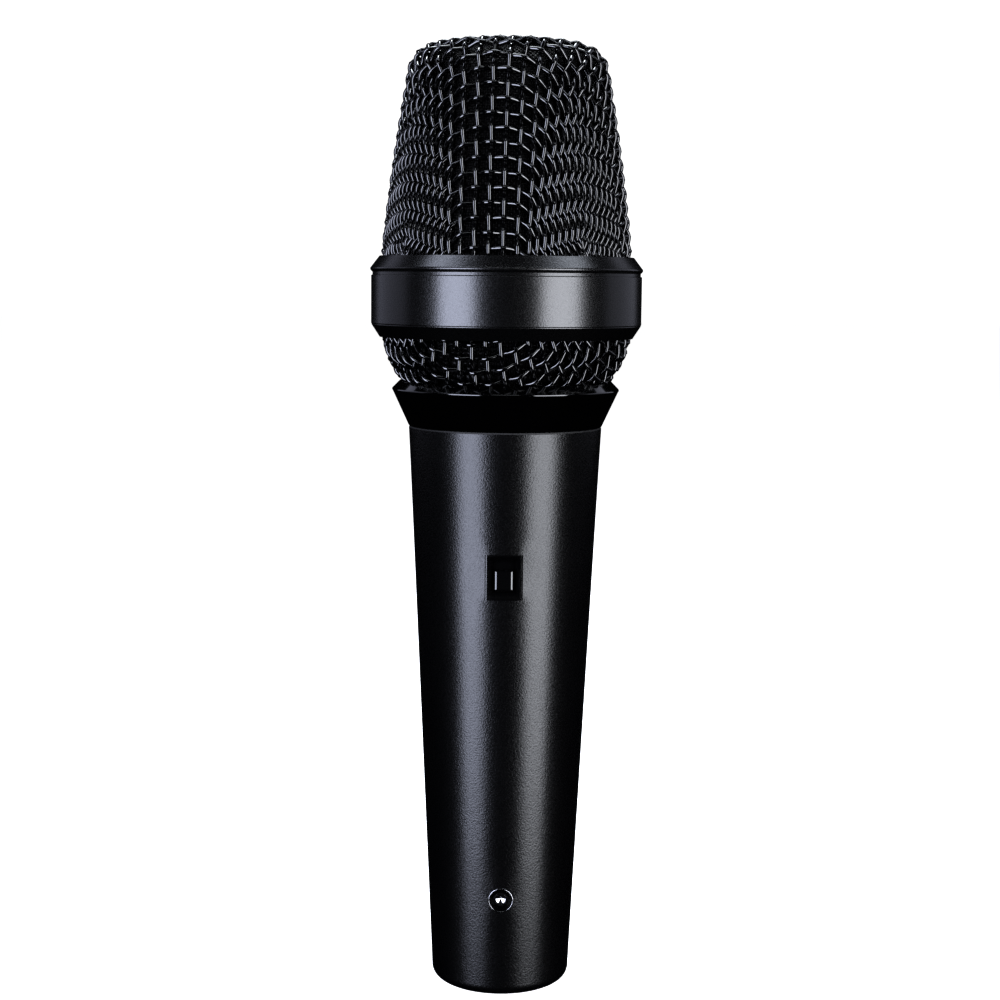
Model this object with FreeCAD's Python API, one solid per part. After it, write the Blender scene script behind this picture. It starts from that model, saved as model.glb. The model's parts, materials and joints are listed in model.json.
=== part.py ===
# Hand-held moving-coil microphone with a tapered handle, a slide switch and a screw-on head.
# Millimetres. +Z runs up the handle to the head, the origin is the centre of the handle's bottom
# face, and the switch and the connector screw face -Y.
import FreeCAD
import Part

import math
import os

V = FreeCAD.Vector
UP = V(0, 0, 1)
BACK = V(0, 1, 0)

# ---------------------------------------------------------------- driving dimensions
# handle casting
base_r = 13.29           # cone radius at the top of the bottom rounding
base_round = 2.0
shoulder_z = 107.6       # seat of the collar's washer
shoulder_r = 18.29
seat_r = 9.5             # bore that holds the connector barrel
seat_top = 26.0
cavity_r_low = 11.0
cavity_r_top = 14.4
cavity_top_z = 98.0      # above this the cavity is a plain bore
neck_r = 15.75           # root of the neck's thread
neck_top = 116.6
thread_pitch = 1.0
thread_low = 109.6
thread_ridges = 6
thread_height = 0.35

# head
washer_in = 16.35
washer_top = 107.9
collar_foot_r = 18.35
collar_rim_r = 21.5
collar_rim_z = 115.0
collar_lip_r = 20.1
collar_top = 116.4
collar_bore = 16.2
bowl_foot_r = 20.0       # outer face of the lower wire screen
bowl_foot_z = 116.4
bowl_mid = (22.45, 120.6)
bowl_top_r = 23.78
bowl_top_z = 124.65
ring_seat_low = 126.0
ring_bore = 21.6
band_r = 25.5
band_in = 24.3
band_low = 127.1
band_top = 136.2
groove_r = 25.25
ridge_r = 25.68
ridge_z = 137.5
bezel_top = 139.75
cup_foot_z = 136.9
cup_base_r = 23.75       # outer face of the upper wire screen where it leaves its ring
cup_shoulder_r = 19.0
cup_shoulder_z = 173.6
cup_bulge = 0.35         # how far the wall stands out of its chord
dome_edge_r = 15.0
dome_edge_z = 178.75
shoulder_bulge = 1.03
apex_z = 180.1
screen_wall = 1.6        # two crossed wires of 0.8
fine_inset = 1.65
fine_wall = 0.3
foam_inset = 2.2
foam_wall = 3.0
foam_split = 130.0       # where the cup of foam meets the skirt of foam
skirt_wall = 2.2
skirt_low = 117.2

# capsule and its mount
can_r = 12.0
can_wall = 0.8
can_low = 104.0
flange_r = 14.1
flange_low = 113.0
mount_seat_low = 106.0
mount_low = 108.0
retainer_low = 115.2
frame_r = 15.4
frame_low = 137.0
frame_top = 150.0
frame_floor = 139.0
cap_top = 154.6
core_hole = 1.5
magnet_r = 7.4
magnet_low = 141.0
magnet_top = 145.6
pole_r = 8.0
pole_top = 147.5
gap_outer_r = 8.9
yoke_r = 10.6
yoke_in = 9.6
yoke_top = 146.0
coil_in = 8.25
coil_out = 8.6
coil_low = 145.2
rim_z = 148.8            # middle plane of the diaphragm's rim
rim_r = 14.0
film = 0.075             # half the diaphragm's thickness
dome_rise = 2.07
tag_x = 3.0
tag_low = 102.5

# switch
window_w = 7.0
window_h = 8.5
window_z = 81.2
throat_w = 4.6
throat_h = 5.9
bezel_rim = 0.36
rim_fall = 0.05           # how far the rim slopes down to the gap at its long edges
gap_w = 0.14              # bevelled gap between the rim and the window's wall
gap_depth = 0.3
bezel_back_y = -15.2
slope_depth = 1.1
knob_w = 3.2
knob_h = 3.6
knob_z = 80.6
knob_front_y = -16.45
knob_bevel_w = 0.28       # width and depth of the bevels along the knob's two long edges
knob_bevel_depth = 0.14
knob_end_bevel = 0.2
switch_travel = 1.5
shoe_front_y = -15.1
shoe_back_y = -14.3
shoe_w = 5.8
shoe_low = 4.4           # how far the shoe reaches below the knob's middle
shoe_high = 4.3
housing_front_y = -13.9
housing_z = knob_z + switch_travel / 2
board_front_y = -10.5
board_back_y = -9.3
board_w = 11.6
board_low = 68.0
board_top = 95.0
board_screw_heights = (70.5, 92.6)
cradle_low = 65.0
cradle_top = 97.8
terminal_pitch = 2.5

# connector
socket_r = 8.1
mouth_r = 8.4
mouth_top = 4.0
barrel_r = 9.4
barrel_low = 1.0
barrel_top = 25.0
insert_low = 16.0
insert_top = 24.0
pin_r = 1.2
pin_low = 4.5
pin_circle_r = 3.95
cup_top = 29.0           # rim of a contact's solder cup
cup_depth = 3.0
screw_z = 19.2
screw_hole_r = 2.1
screw_edge = 0.15         # chamfer at the mouth of the screw's hole
screw_head_r = 1.42
screw_head_depth = 0.35   # from the handle's surface to the screw's face
screw_shank_hole_r = 1.1
socket_corner_r = 1.05
socket_depth = 0.5        # of the socket's six walls, above its drilled cone
socket_cone_r = 0.9
socket_cone_depth = 0.42
lead_d = 1.1


# ---------------------------------------------------------------- helpers
def turned(start, *steps):
    """Ring turned about Z from (r, z) points; a pair of points is an arc by its middle and its end."""
    at, edges = V(start[0], 0, start[1]), []
    first = at
    for step in steps:
        if isinstance(step[0], tuple):
            middle, end = (V(p[0], 0, p[1]) for p in step)
            edges.append(Part.Arc(at, middle, end).toShape())
        else:
            end = V(step[0], 0, step[1])
            edges.append(Part.LineSegment(at, end).toShape())
        at = end
    edges.append(Part.LineSegment(at, first).toShape())
    return Part.Face(Part.Wire(edges)).revolve(V(0, 0, 0), UP, 360)


def tube(r_in, r_out, low, high):
    return turned((r_in, low), (r_out, low), (r_out, high), (r_in, high))


def disc(r, low, high, x=0.0, y=0.0):
    return Part.makeCylinder(r, high - low, V(x, y, low), UP)


def block(x0, x1, y0, y1, z0, z1):
    return Part.makeBox(x1 - x0, y1 - y0, z1 - z0, V(x0, y0, z0))


def peg(r, y0, y1, z, x=0.0):
    """Round bar along Y."""
    return Part.makeCylinder(r, y1 - y0, V(x, y0, z), BACK)


def dome_middle(edge_r, edge_z, apex):
    """Middle point (r, z) of the arc that rises from an edge to an apex on the axis, level at the apex."""
    fall = apex - edge_z
    radius = (edge_r ** 2 + fall ** 2) / (2 * fall)
    half = math.asin(edge_r / radius) / 2
    return radius * math.sin(half), apex - radius + radius * math.cos(half)


def around(shape, count):
    """Copies of a shape, evenly spaced about the axis."""
    made = []
    for k in range(count):
        one = shape.copy()
        one.rotate(V(0, 0, 0), UP, 360.0 * k / count)
        made.append(one)
    return made


def cut_all(shape, tools):
    for tool in tools:
        shape = shape.cut(tool)
    return shape


def lead(points):
    """Insulated wire along straight runs joined by tangent arcs as large as the shorter run allows."""
    pts = [V(*p) for p in points]
    edges, at = [], pts[0]
    for before, corner, after in zip(pts, pts[1:], pts[2:]):
        a, b = before - corner, after - corner
        reach = 0.45 * min(a.Length, b.Length)
        a.normalize()
        b.normalize()
        half = math.acos(a.dot(b)) / 2
        radius = reach * math.tan(half)
        middle = corner + (a + b).normalize() * (radius / math.sin(half) - radius)
        enter, leave = corner + a * reach, corner + b * reach
        edges.append(Part.LineSegment(at, enter).toShape())
        edges.append(Part.Arc(enter, middle, leave).toShape())
        at = leave
    edges.append(Part.LineSegment(at, pts[-1]).toShape())
    path = Part.Wire(edges)
    section = Part.Wire(Part.Circle(pts[0], pts[1] - pts[0], lead_d / 2).toShape())
    solid = path.makePipeShell([section], True, False)
    wanted = path.Length * math.pi * lead_d ** 2 / 4
    assert abs(solid.Volume / wanted - 1) < 0.02, "a lead's volume is not its section times its length"
    return solid


def cavity_r(z):
    """Radius of the handle's inner cone."""
    return cavity_r_low + (z - seat_top) / (cavity_top_z - seat_top) * (cavity_r_top - cavity_r_low)


def handle_r(z):
    """Radius of the handle's outer cone."""
    return base_r + (z - base_round) / (shoulder_z - base_round) * (shoulder_r - base_r)


# ---------------------------------------------------------------- handle
def handle_body():
    flat_r = base_r - base_round
    corner = base_round * (1 - math.sqrt(0.5))
    thread = []
    for k in range(thread_ridges):
        crest = thread_low + k * thread_pitch
        thread.append((neck_r, crest - thread_pitch / 2))
        thread.append((neck_r + thread_height, crest))
    thread.append((neck_r, thread_low + (thread_ridges - 0.5) * thread_pitch))
    body = turned(
        (seat_r, 0), (flat_r, 0),
        ((base_r - corner, corner), (base_r, base_round)),
        (shoulder_r, shoulder_z), (neck_r, shoulder_z),
        *thread,
        (neck_r, neck_top - 0.4), (neck_r - 0.4, neck_top), (cavity_r_top, neck_top),
        (cavity_r_top, cavity_top_z), (cavity_r_low, seat_top), (seat_r, seat_top))
    window = block(-window_w / 2, window_w / 2, -handle_r(window_z) - 1, -cavity_r_low,
                   window_z - window_h / 2, window_z + window_h / 2)
    pocket = block(-shoe_w / 2 - 0.4, shoe_w / 2 + 0.4, bezel_back_y, -cavity_r_low,
                   knob_z - shoe_low - 0.3, knob_z + shoe_high + switch_travel + 0.4)
    face = -handle_r(screw_z)
    hole = turned((0, -1), (screw_hole_r + screw_edge + 1, -1), (screw_hole_r, screw_edge),
                  (screw_hole_r, -11.9 - face), (screw_shank_hole_r, -11.9 - face),
                  (screw_shank_hole_r, -6 - face), (0, -6 - face))
    hole.rotate(V(0, 0, 0), UP, 45)     # keeps its seam away from the handle's
    hole.rotate(V(0, 0, 0), V(1, 0, 0), -90)
    hole.translate(V(0, face, screw_z))
    return cut_all(body, [window, pocket, hole])


def mount_seat():
    """Ring in the neck that carries the rubber mount."""
    return tube(can_r + 0.7, cavity_r_top - 0.02, mount_seat_low, mount_low)


def shock_mount():
    """Rubber sleeve with two hollow folds."""
    inner, outer = can_r + 0.35, flange_r - 0.1
    z, step = mount_low, (flange_low - mount_low) / 5
    fold = 0.55
    return turned((inner, z), (outer, z), (outer, z + step), (outer - fold, z + 1.5 * step),
                  (outer - fold, z + 3.5 * step), (outer, z + 4 * step), (outer, z + 5 * step),
                  (inner, z + 5 * step))


def mount_retainer():
    return tube(flange_r - 1.1, cavity_r_top - 0.02, retainer_low, retainer_low + 1.2)


# ---------------------------------------------------------------- switch
def upright_frame(width, height, y):
    """Rectangle about the window's middle, in the plane at y."""
    x, z = width / 2, height / 2
    corners = [V(-x, y, window_z - z), V(x, y, window_z - z), V(x, y, window_z + z), V(-x, y, window_z + z)]
    return Part.makePolygon(corners + corners[:1])


def rim_wedge(side):
    """What is cut from the bezel's long outer edge: a slight slope, then the bevelled gap."""
    x, low, high = window_w / 2, window_z - window_h / 2, window_z + window_h / 2
    top_y = -math.sqrt(handle_r(low) ** 2 - (x - bezel_rim) ** 2)
    lean = (handle_r(low) - handle_r(high)) / (high - low)
    corners = [V(side * (x - bezel_rim), top_y, low), V(side * (x - gap_w), top_y + rim_fall, low),
               V(side * x, top_y + gap_depth, low), V(side * x, top_y - 1, low),
               V(side * (x - bezel_rim), top_y - 1, low)]
    return Part.Face(Part.makePolygon(corners + corners[:1])).extrude(V(0, lean * window_h, window_h))


def switch_bezel():
    """Frame flush with the handle, whose four slopes lead down to the knob's throat."""
    half_w, half_h = window_w / 2, window_h / 2
    cone = Part.makeCone(base_r, shoulder_r, shoulder_z - base_round, V(0, 0, base_round), UP)
    frame = block(-half_w, half_w, -18.5, bezel_back_y, window_z - half_h, window_z + half_h).common(cone)
    throat = block(-throat_w / 2, throat_w / 2, -18.5, bezel_back_y + 1,
                   window_z - throat_h / 2, window_z + throat_h / 2)
    wide_w, wide_h = window_w - 2 * bezel_rim, window_h - 2 * bezel_rim
    surface = -handle_r(window_z)
    outer = upright_frame(2 * wide_w - throat_w, 2 * wide_h - throat_h, surface - slope_depth)
    inner = upright_frame(throat_w, throat_h, surface + slope_depth)
    return cut_all(frame, [throat, Part.makeLoft([outer, inner], True, True), rim_wedge(-1), rim_wedge(1)])


def switch_knob():
    """Smooth thumb piece with bevelled sides, on a shoe that slides behind the bezel."""
    shoe = block(-shoe_w / 2, shoe_w / 2, shoe_front_y, shoe_back_y, knob_z - shoe_low, knob_z + shoe_high)
    x, low = knob_w / 2, knob_z - knob_h / 2
    half = [(x, shoe_front_y), (x, knob_front_y + knob_bevel_depth), (x - knob_bevel_w, knob_front_y)]
    corners = [V(px, py, low) for px, py in half] + [V(-px, py, low) for px, py in reversed(half)]
    knob = Part.Face(Part.makePolygon(corners + corners[:1])).extrude(V(0, 0, knob_h))
    ends = [e for e in knob.Edges if abs(e.CenterOfMass.y - knob_front_y) < 1e-6
            and abs(abs(e.CenterOfMass.z - knob_z) - knob_h / 2) < 1e-6]
    knob = knob.makeChamfer(knob_end_bevel, ends)
    fork = block(-0.8, 0.8, -15.45, shoe_back_y + 0.1, knob_z - 0.8, knob_z + 0.8)
    return shoe.fuse(knob).removeSplitter().cut(fork)


def switch_stem():
    pin = block(-0.75, 0.75, -15.35, -13.0, knob_z - 0.75, knob_z + 0.75)
    base = block(-1.4, 1.4, -13.4, -12.4, knob_z - 1.3, knob_z + 1.3)
    return pin.fuse(base).removeSplitter()


def switch_housing():
    z = housing_z
    case = block(-2.2, 2.2, housing_front_y, board_front_y, z - 4.3, z + 4.3)
    slot = block(-0.9, 0.9, housing_front_y - 1, -13, z - 1.7, z + 1.7)
    inside = block(-1.6, 1.6, housing_front_y + 0.4, board_front_y - 0.7, z - 2.3, z + 2.3)
    return cut_all(case, [slot, inside])


def terminal_heights():
    return [housing_z + k * terminal_pitch for k in (-1, 0, 1)]


def switch_terminals():
    return [block(-0.3, 0.3, board_front_y, board_back_y + 0.9, z - 0.3, z + 0.3) for z in terminal_heights()]


def switch_board():
    board = block(-board_w / 2, board_w / 2, board_front_y, board_back_y, board_low, board_top)
    holes = [peg(0.9, board_front_y - 1, board_back_y + 1, z) for z in board_screw_heights]
    holes += [block(-0.35, 0.35, board_front_y - 1, board_back_y + 1, z - 0.35, z + 0.35)
              for z in terminal_heights()]
    return cut_all(board, holes)


def board_screws():
    made = []
    for z in board_screw_heights:
        head = peg(1.4, board_front_y - 1, board_front_y, z)
        shank = peg(0.75, board_front_y - 0.1, board_back_y + 1.8, z)
        slot = block(-1.5, 1.5, board_front_y - 1.1, board_front_y - 0.6, z - 0.2, z + 0.2)
        made.append(head.fuse(shank).removeSplitter().cut(slot))
    return made


def switch_cradle():
    """Plastic frame that carries the board: two bulkheads, two rails and two screw bridges."""
    back, side = board_back_y + 2.7, board_w / 2
    low_plate = disc(cavity_r(cradle_low) - 0.12, cradle_low, cradle_low + 2)
    top_plate = disc(cavity_r(cradle_top - 1.8) - 0.12, cradle_top - 1.8, cradle_top)
    rails = [block(x, x + 2.2, board_back_y, back, cradle_low + 1.5, cradle_top - 1.3)
             for x in (-side, side - 2.2)]
    bridges = [block(-side, side, board_back_y, back - 0.3, z - 1.5, z + 1.5) for z in board_screw_heights]
    body = low_plate.multiFuse([top_plate] + rails + bridges).removeSplitter()
    holes = [disc(5, cradle_low - 1, cradle_top + 1, 0, 2.5)]
    holes += [peg(0.8, board_back_y - 1, board_back_y + 1.9, z) for z in board_screw_heights]
    return cut_all(body, holes)


# ---------------------------------------------------------------- connector
pin_places = {"ground": (pin_circle_r, 0.0), "cold": (-pin_circle_r, 0.0), "hot": (0.0, -pin_circle_r)}


def connector_barrel():
    body = turned((mouth_r, barrel_low), (barrel_r, barrel_low), (barrel_r, barrel_top),
                  (socket_r, barrel_top), (socket_r, mouth_top), (mouth_r, mouth_top))
    latch = block(-1.8, 1.8, 5, 12, barrel_low - 1, 10)
    return cut_all(body, [latch, peg(1.1, -12, -6, screw_z)])


def connector_insert():
    body = disc(socket_r - 0.05, insert_low, insert_top)
    holes = [disc(pin_r + 0.02, insert_low - 1, insert_top + 1, x, y) for x, y in pin_places.values()]
    return cut_all(body, holes + [peg(1.05, -12, -6.4, screw_z)])


def connector_pin(place):
    """Round contact with a domed tip and, at its upper end, an open solder cup."""
    x, y = pin_places[place]
    pin = turned((0, pin_low), ((pin_r * 0.75, pin_low + 0.35), (pin_r, pin_low + 1.2)),
                 (pin_r, cup_top), (0.75, cup_top), (0.75, cup_top - cup_depth), (0, cup_top - cup_depth))
    pin.translate(V(x, y, 0))
    return pin.cut(block(x - 1.3, x + 1.3, y, y + 2, cup_top - 2.4, cup_top + 1))


def connector_screw():
    """Socket-head screw that pins the connector into the handle."""
    head_y = -handle_r(screw_z) + screw_head_depth
    head = peg(screw_head_r, head_y, -11.95, screw_z)
    head = head.makeChamfer(0.3, [e for e in head.Edges if abs(e.CenterOfMass.y - head_y) < 1e-6])
    shank = peg(1.0, -12.1, -6.5, screw_z)
    turns = [math.radians(a) for a in range(30, 391, 60)]
    corners = [V(socket_corner_r * math.cos(a), head_y - 0.1, screw_z + socket_corner_r * math.sin(a))
               for a in turns]
    socket = Part.Face(Part.makePolygon(corners)).extrude(V(0, socket_depth + 0.1, 0))
    bottom = V(0, head_y + socket_depth, screw_z)
    drilled = Part.makeCone(socket_cone_r, 0, socket_cone_depth, bottom, V(0, 1, 0))
    return cut_all(head.fuse(shank).removeSplitter(), [socket, drilled])


def ground_spring():
    """Leaf that joins the ground contact to the handle casting."""
    x, z, half = pin_places["ground"][0], insert_top, 1.5
    eye = disc(2.2, z, z + 0.3, x)
    arm = block(x, 7.6, -half, half, z, z + 0.3)
    side = [V(7.3, -half, z), V(7.6, -half, z), V(7.6, -half, z + 3.2), V(11.0, -half, z + 6.5),
            V(10.3, -half, z + 10), V(10.0, -half, z + 9.9), V(10.65, -half, z + 6.6),
            V(7.3, -half, z + 3.35)]
    leaf = Part.Face(Part.makePolygon(side + side[:1])).extrude(V(0, 2 * half, 0))
    return eye.multiFuse([arm, leaf]).removeSplitter().cut(disc(pin_r + 0.02, z - 1, z + 8, x))


def output_lead(place, side):
    x, y = pin_places[place]
    start = board_back_y + 0.15
    return lead([(side * 2.4, start, 76), (side * 2.3, -4.6, 75), (side * 1.8, 1.2, 70.5),
                 (side * 1.6, 2.6, 61), (side * 1.2 + x * 0.1, 1.6, 50),
                 (x * 0.6 + side * 0.4, y * 0.6 + 1.2, 40), (x, y, 33.5), (x, y, cup_top - cup_depth + 0.05)])


def capsule_lead(side):
    start = board_back_y + 0.15
    return lead([(side * 2.4, start, 87), (side * 2.35, -4.6, 88), (side * 2.1, 0.8, 92),
                 (side * 2.5, 1.2, 97.5), (side * tag_x, 0, 100.4), (side * tag_x, 0, tag_low)])


# ---------------------------------------------------------------- capsule
def capsule_can():
    """Rear chamber, a cup whose flange stands on the rubber mount."""
    flange_top = flange_low + 1
    body = turned((0, can_low), (can_r - 0.5, can_low), (can_r, can_low + 0.5),
                  (can_r, flange_low), (flange_r, flange_low), (flange_r, flange_top), (can_r, flange_top),
                  (can_r, frame_low), (can_r - can_wall, frame_low), (can_r - can_wall, can_low + 1),
                  (0, can_low + 1))
    return cut_all(body, [disc(1.2, can_low - 1, can_low + 2, x) for x in (-tag_x, tag_x)])


def tag_plate():
    plate = disc(can_r - can_wall - 0.05, can_low + 1, can_low + 2)
    return cut_all(plate, [disc(0.52, can_low, can_low + 3, x) for x in (-tag_x, tag_x)])


def solder_tags():
    return [disc(0.5, tag_low, can_low + 3.5, x) for x in (-tag_x, tag_x)]


def capsule_frame():
    body = turned((6, frame_low), (frame_r, frame_low), (frame_r, frame_top), (rim_r + 0.3, frame_top),
                  (rim_r + 0.3, rim_z - 0.4), (12.6, rim_z - 0.4), (12.6, 147), (yoke_r + 0.02, 147),
                  (yoke_r + 0.02, frame_floor), (6, frame_floor))
    port = Part.makeCylinder(0.5, 6, V(11.5, 0, 147.7), V(1, 0, 0))
    return cut_all(body, around(port, 12))


def port_cloth():
    return tube(frame_r + 0.01, frame_r + 0.2, 146.9, 148.5)


def yoke_cup():
    return turned((core_hole, frame_floor), (yoke_r, frame_floor), (yoke_r, yoke_top), (yoke_in, yoke_top),
                  (yoke_in, magnet_low), (core_hole, magnet_low))


def gap_plate():
    return tube(gap_outer_r, yoke_r, yoke_top, pole_top)


def magnet():
    return tube(core_hole, magnet_r, magnet_low, magnet_top)


def pole_piece():
    return tube(core_hole, pole_r, magnet_top, pole_top)


def rim_clamp():
    return tube(12.9, rim_r + 0.25, rim_z + 0.4, frame_top)


def capsule_cap():
    """Front cover with a centre hole and two rings of sound holes."""
    body = turned((13.6, frame_top), (frame_r, frame_top), (frame_r, cap_top - 0.8),
                  ((frame_r - 0.24, cap_top - 0.24), (frame_r - 0.8, cap_top)), (0, cap_top),
                  (0, cap_top - 1.6), (13.6, cap_top - 1.6))
    holes = [disc(1.1, cap_top - 3, cap_top + 1)]
    holes += around(disc(1.1, cap_top - 3, cap_top + 1, 5.2), 6)
    holes += around(disc(1.1, cap_top - 3, cap_top + 1, 10.4), 12)
    return cut_all(body, holes)


def cap_felt():
    return disc(13.5, cap_top - 2.4, cap_top - 1.6)


def diaphragm():
    """Thin dome with a rolled surround."""
    low, high = rim_z - film, rim_z + film
    inner_apex, outer_apex = rim_z + dome_rise - film, rim_z + dome_rise + film
    outer_r = coil_out + 2 * film
    return turned((0, inner_apex), (dome_middle(coil_out, low, inner_apex), (coil_out, low)), (10, low),
                  ((11.3, low + 0.65), (12.6, low)), (rim_r, low), (rim_r, high), (12.7, high),
                  ((11.3, high + 0.65), (9.9, high)), (outer_r, high),
                  (dome_middle(outer_r, high, outer_apex), (0, outer_apex)))


def voice_coil():
    return tube(coil_in, coil_out - 0.02, coil_low, rim_z - film)


# ---------------------------------------------------------------- head
def cup_shell(outer, inner, foot_z):
    """Closed cup between two insets from the upper screen's outer face: wall, shoulder and dome."""
    def meridian(inset):
        wall_mid = V((cup_base_r + cup_shoulder_r) / 2 + cup_bulge - inset, 0,
                     (bezel_top + cup_shoulder_z) / 2)
        chord = V(cup_shoulder_z - dome_edge_z, 0, dome_edge_r - cup_shoulder_r).normalize() * -1
        edge_mid = V((cup_shoulder_r + dome_edge_r) / 2, 0, (cup_shoulder_z + dome_edge_z) / 2)
        shoulder_mid = edge_mid + chord * (shoulder_bulge - inset)
        foot = V(cup_base_r - inset, 0, foot_z)
        brim = V(cup_base_r - inset, 0, bezel_top)
        shoulder = V(cup_shoulder_r - inset, 0, cup_shoulder_z - 0.17 * inset)
        dome_edge = V(dome_edge_r - 0.17 * inset, 0, dome_edge_z - inset)
        apex = V(0, 0, apex_z - inset)
        dome_mid_r, dome_mid_z = dome_middle(dome_edge.x, dome_edge.z, apex.z)
        dome_mid = V(dome_mid_r, 0, dome_mid_z)
        edges = [Part.LineSegment(foot, brim), Part.Arc(brim, wall_mid, shoulder),
                 Part.Arc(shoulder, shoulder_mid, dome_edge), Part.Arc(dome_edge, dome_mid, apex)]
        return [e.toShape() for e in edges], foot, apex

    outside, foot_out, apex_out = meridian(outer)
    inside, foot_in, apex_in = meridian(inner)
    caps = [Part.LineSegment(apex_out, apex_in).toShape(), Part.LineSegment(foot_in, foot_out).toShape()]
    outline = Part.Wire(Part.__sortEdges__(outside + inside + caps))
    return Part.Face(outline).revolve(V(0, 0, 0), UP, 360)


def bowl_shell(outer, inner, foot_z, top_z):
    """Closed ring between two insets from the lower screen's outer face."""
    def points(inset):
        lean = 0.35 * inset
        return ((bowl_foot_r - inset, bowl_foot_z + lean),
                (bowl_mid[0] - 0.93 * inset, bowl_mid[1] + lean),
                (bowl_top_r - inset, bowl_top_z + 0.2 * inset))

    low_out, mid_out, top_out = points(outer)
    low_in, mid_in, top_in = points(inner)
    steps = [(mid_out, top_out), (top_out[0], top_z), (top_in[0], top_z), top_in, (mid_in, low_in)]
    start = low_out
    if foot_z < low_out[1]:
        start = (low_out[0], foot_z)
        steps.insert(0, low_out)
        steps.append((low_in[0], foot_z))
    return turned(start, *steps)


def upper_screen():
    return cup_shell(0, screen_wall, cup_foot_z)


def upper_fine_screen():
    return cup_shell(fine_inset, fine_inset + fine_wall, cup_foot_z)


def foam_cup():
    return cup_shell(foam_inset, foam_inset + foam_wall, foam_split + 0.1)


def lower_screen():
    return bowl_shell(0, screen_wall, collar_top - 1.2, ring_seat_low)


def lower_fine_screen():
    return bowl_shell(fine_inset, fine_inset + fine_wall, collar_top - 1.2, ring_seat_low)


def foam_skirt():
    return bowl_shell(foam_inset, foam_inset + skirt_wall, skirt_low, foam_split)


def screen_bezel():
    """Bevelled ring that grips the upper screen's foot."""
    return turned((ring_bore, band_top), (groove_r, band_top), (groove_r, ridge_z - 0.75),
                  (ridge_r - 0.1, ridge_z - 0.42),
                  ((ridge_r, ridge_z - 0.15), (ridge_r - 0.16, ridge_z + 0.2)),
                  (cup_base_r + 0.2, bezel_top), (cup_base_r + 0.02, bezel_top),
                  (cup_base_r + 0.02, cup_foot_z),
                  (ring_bore, cup_foot_z))


def head_band():
    soft = 0.18
    return turned((band_in, band_low), (band_r - soft, band_low),
                  ((band_r - 0.3 * soft, band_low + 0.3 * soft), (band_r, band_low + soft)),
                  (band_r, band_top - soft),
                  ((band_r - 0.3 * soft, band_top - 0.3 * soft), (band_r - soft, band_top)),
                  (band_in, band_top))


def lower_ring():
    """Chamfered ring that grips the lower screen's brim."""
    return turned((bowl_top_r + 0.02, bowl_top_z), (bowl_top_r + 0.12, bowl_top_z),
                  (band_r - 0.1, band_low - 0.15),
                  (band_r - 0.1, band_low), (ring_bore, band_low), (ring_bore, ring_seat_low),
                  (bowl_top_r + 0.02, ring_seat_low))


def collar():
    """Internally threaded foot of the head, with a sharp flared rim."""
    soft = 0.12
    groove_in, groove_low = bowl_foot_r - fine_inset - fine_wall - 0.05, collar_top - 1.2
    return turned((collar_bore, washer_top + 0.4), (collar_bore + 0.4, washer_top),
                  (collar_foot_r - soft, washer_top), (collar_foot_r, washer_top + soft),
                  (collar_rim_r - soft, collar_rim_z - 0.4),
                  ((collar_rim_r, collar_rim_z - 0.15), (collar_rim_r - soft, collar_rim_z + 0.1)),
                  (collar_lip_r, collar_top), (bowl_foot_r + 0.02, collar_top),
                  (bowl_foot_r + 0.02, groove_low),
                  (groove_in, groove_low), (groove_in, collar_top), (collar_bore, collar_top))


def collar_washer():
    return tube(washer_in, shoulder_r - 0.1, shoulder_z, washer_top)


# ---------------------------------------------------------------- all nodes
nodes = {
    "handle_body": handle_body(),
    "mount_seat": mount_seat(),
    "shock_mount": shock_mount(),
    "mount_retainer": mount_retainer(),
    "switch_bezel": switch_bezel(),
    "switch_knob": switch_knob(),
    "switch_stem": switch_stem(),
    "switch_housing": switch_housing(),
    "switch_terminals": switch_terminals(),
    "switch_board": switch_board(),
    "board_screws": board_screws(),
    "switch_cradle": switch_cradle(),
    "connector_barrel": connector_barrel(),
    "connector_insert": connector_insert(),
    "contact_pin_ground": connector_pin("ground"),
    "contact_pin_hot": connector_pin("hot"),
    "contact_pin_cold": connector_pin("cold"),
    "connector_screw": connector_screw(),
    "ground_spring": ground_spring(),
    "output_lead_hot": output_lead("hot", 1),
    "output_lead_cold": output_lead("cold", -1),
    "capsule_lead_right": capsule_lead(1),
    "capsule_lead_left": capsule_lead(-1),
    "capsule_can": capsule_can(),
    "tag_plate": tag_plate(),
    "solder_tags": solder_tags(),
    "capsule_frame": capsule_frame(),
    "port_cloth": port_cloth(),
    "yoke_cup": yoke_cup(),
    "gap_plate": gap_plate(),
    "magnet": magnet(),
    "pole_piece": pole_piece(),
    "rim_clamp": rim_clamp(),
    "capsule_cap": capsule_cap(),
    "cap_felt": cap_felt(),
    "diaphragm": diaphragm(),
    "voice_coil": voice_coil(),
    "upper_screen": upper_screen(),
    "upper_fine_screen": upper_fine_screen(),
    "foam_cup": foam_cup(),
    "lower_screen": lower_screen(),
    "lower_fine_screen": lower_fine_screen(),
    "foam_skirt": foam_skirt(),
    "screen_bezel": screen_bezel(),
    "head_band": head_band(),
    "lower_ring": lower_ring(),
    "collar": collar(),
    "collar_washer": collar_washer(),
}

os.makedirs("parts", exist_ok=True)
for name, shape in nodes.items():
    pieces = shape if isinstance(shape, list) else [shape]
    solids = [solid for piece in pieces for solid in piece.Solids]
    assert solids and all(s.isValid() and s.Volume > 0 for s in solids), name
    result = solids[0] if len(solids) == 1 else Part.makeCompound(solids)
    result.exportStep("parts/%s.step" % name)
    print(name, len(solids), "solids", round(sum(s.Volume for s in solids), 1), "mm3")
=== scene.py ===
import json
import math

import bmesh
import bpy
import numpy as np
from mathutils import Matrix, Vector, noise


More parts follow.
